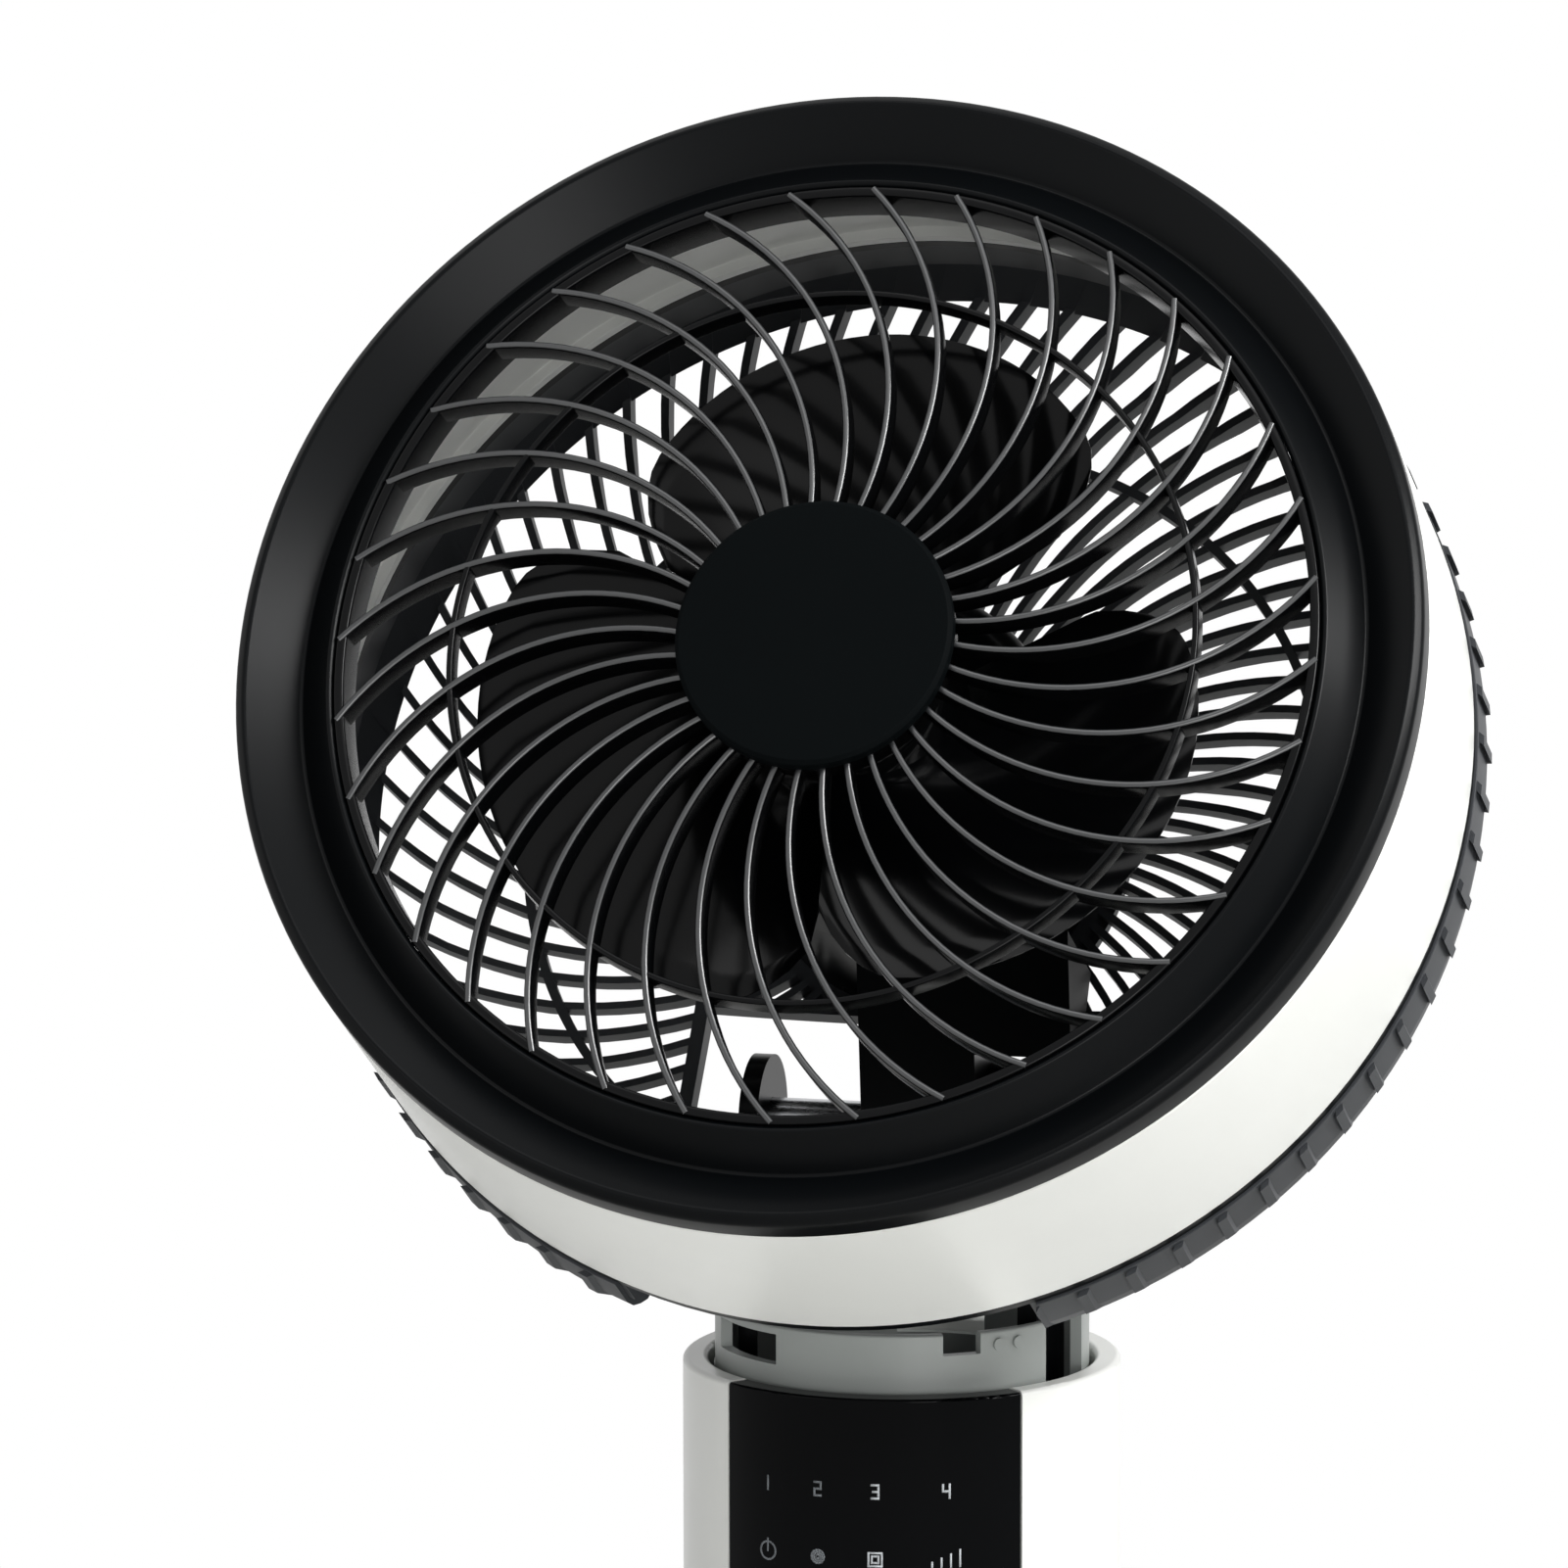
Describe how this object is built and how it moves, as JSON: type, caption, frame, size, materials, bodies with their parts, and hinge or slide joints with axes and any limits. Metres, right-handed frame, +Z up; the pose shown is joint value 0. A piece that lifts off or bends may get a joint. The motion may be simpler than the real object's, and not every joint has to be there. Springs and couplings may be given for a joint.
{
  "type": "oscillating pedestal fan",
  "caption": "Pedestal fan with a round swinging and tilting air-circulator head, spiral grilles, a touch-panel column, a slim pole and a round weighted base.",
  "frame": {"origin": "on the floor, on the axis of the column and of the base", "axes": "+Z up along the column, -Y to the side that the control panel and the fan face"},
  "size_m": [0.32, 0.32, 0.9634],
  "materials": {
    "white_shell": "gloss white moulded plastic",
    "satin_black": "satin black moulded plastic",
    "gloss_black": "gloss black moulded plastic",
    "dark_grey": "dark grey moulded plastic",
    "neck_grey": "pale grey moulded plastic",
    "steel": "turned steel",
    "zinc_sheet": "zinc-plated sheet steel",
    "laminations": "stacked iron sheets",
    "acetal": "self-coloured gear plastic",
    "circuit_board": "circuit board",
    "white_paint": "white powder coat",
    "iron": "cast weight",
    "foot_rubber": "soft rubber",
    "black_acetal": "self-coloured black gear plastic"
  },
  "bodies": {
    "stand": {"column_deck": "dark_grey", "thrust_washer": "acetal", "swing_motor": "zinc_sheet", "column_shell": "white_shell", "power_inlet": "satin_black", "control_panel": "gloss_black", "display_board": "circuit_board", "power_board": "circuit_board", "column_cap": "white_shell", "pole": "white_paint", "pole_flange": "zinc_sheet", "base_cover": "white_shell", "base_plate": "zinc_sheet", "rubber_feet": "foot_rubber", "base_weight": "iron", "flange_posts": "steel"},
    "neck": {"neck_collar": "neck_grey", "yoke": "satin_black", "swing_gear": "acetal", "swing_retainer": "steel", "tilt_motor": "zinc_sheet", "tilt_axle": "steel"},
    "head": {"front_bezel": "satin_black", "front_grille": "gloss_black", "hub_cap": "satin_black", "head_shell": "white_shell", "rear_trim_ring": "satin_black", "rear_grille": "dark_grey", "motor_front_cover": "satin_black", "motor_rear_cover": "satin_black", "motor_bearings": "steel", "motor_screws": "steel", "motor_stator": "laminations", "tilt_arm": "satin_black", "tilt_bushes": "acetal", "tilt_gear": "black_acetal"},
    "blades": {"impeller": "gloss_black", "spinner_nut": "satin_black", "motor_shaft": "steel", "motor_rotor": "laminations"},
    "swing_pinion": {"swing_pinion": "acetal"},
    "tilt_pinion": {"tilt_pinion": "black_acetal"}
  },
  "joints": [
    {"name": "head_swing", "type": "hinge", "parent": "stand", "child": "neck", "pos_m": [0, 0, 0.614], "axis": [0, 0, 1], "range_deg": [-36, 44]},
    {"name": "swing_pinion_spin", "type": "hinge", "parent": "stand", "child": "swing_pinion", "pos_m": [0, 0.0375, 0.605], "axis": [0, 0, 1], "range_deg": [-178, 146]},
    {"name": "head_tilt", "type": "hinge", "parent": "neck", "child": "head", "pos_m": [0, 0, 0.7], "axis": [-0.9976, 0.0698, 0], "range_deg": [-28, 45]},
    {"name": "tilt_pinion_spin", "type": "hinge", "parent": "neck", "child": "tilt_pinion", "pos_m": [0.02644, -0.00185, 0.665], "axis": [-0.9976, 0.0698, 0], "range_deg": [-182, 114]},
    {"name": "blade_spin", "type": "hinge", "parent": "head", "child": "blades", "pos_m": [-0.00387, -0.05529, 0.8183], "axis": [-0.0604, -0.8639, 0.5], "continuous": true}
  ],
  "couplings": [
    {"joint": "swing_pinion_spin", "follows": "head_swing", "ratio": -4},
    {"joint": "tilt_pinion_spin", "follows": "head_tilt", "ratio": -4}
  ]
}
